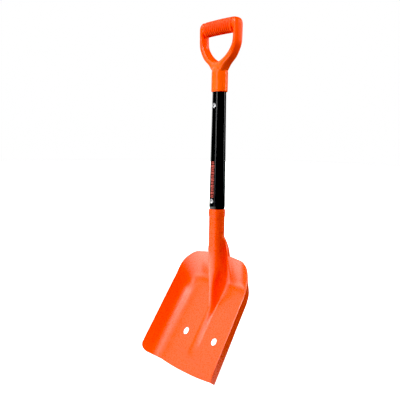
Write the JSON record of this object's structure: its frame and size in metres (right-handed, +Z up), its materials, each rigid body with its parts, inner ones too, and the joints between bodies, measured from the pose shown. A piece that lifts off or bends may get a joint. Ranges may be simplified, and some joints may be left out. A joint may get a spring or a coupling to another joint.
{
  "type": "avalanche shovel",
  "caption": "Avalanche shovel: pressed metal scoop with rolled socket, tapered black shaft, telescoping inner tube with snap button, and ribbed D-handle.",
  "frame": {"origin": "middle of the footprint at the level of the digging edge", "axes": "+Z up along the shaft to the grip, -Y the hollow front of the scoop, +X across the scoop"},
  "size_m": [0.2566, 0.1364, 0.7781],
  "materials": {
    "orange_powder_coat": "satin powder coat",
    "black_anodised_aluminium": "satin black",
    "bare_aluminium": "brushed",
    "black_nylon": "matte",
    "orange_plastic": "fine moulded texture",
    "orange_grip_plastic": "fine moulded texture",
    "stainless_steel": "brushed"
  },
  "bodies": {
    "shaft": {"blade": "orange_powder_coat", "socket_band": "orange_powder_coat", "socket_rivet_left": "orange_powder_coat", "socket_rivet_right": "orange_powder_coat", "shaft_tube": "black_anodised_aluminium", "shaft_end_plug": "black_nylon", "shaft_top_bush": "black_nylon"},
    "handle": {"inner_tube": "bare_aluminium", "inner_tube_bush": "black_nylon", "d_handle": "orange_plastic", "grip_sleeve": "orange_grip_plastic", "handle_screw": "stainless_steel", "snap_spring": "stainless_steel"},
    "button": {"snap_button": "stainless_steel"}
  },
  "joints": [
    {"name": "handle_slide", "type": "slide", "parent": "shaft", "child": "handle", "axis": [0, 0, 1], "range_m": [0, 0.212], "deforming": ["snap_button"]},
    {"name": "button_press", "type": "slide", "parent": "handle", "child": "button", "axis": [0, 1, 0], "range_m": [0, 0.005], "stiffness_N_per_m": 800, "springref_m": -0.003, "deforming": ["snap_spring"]}
  ]
}
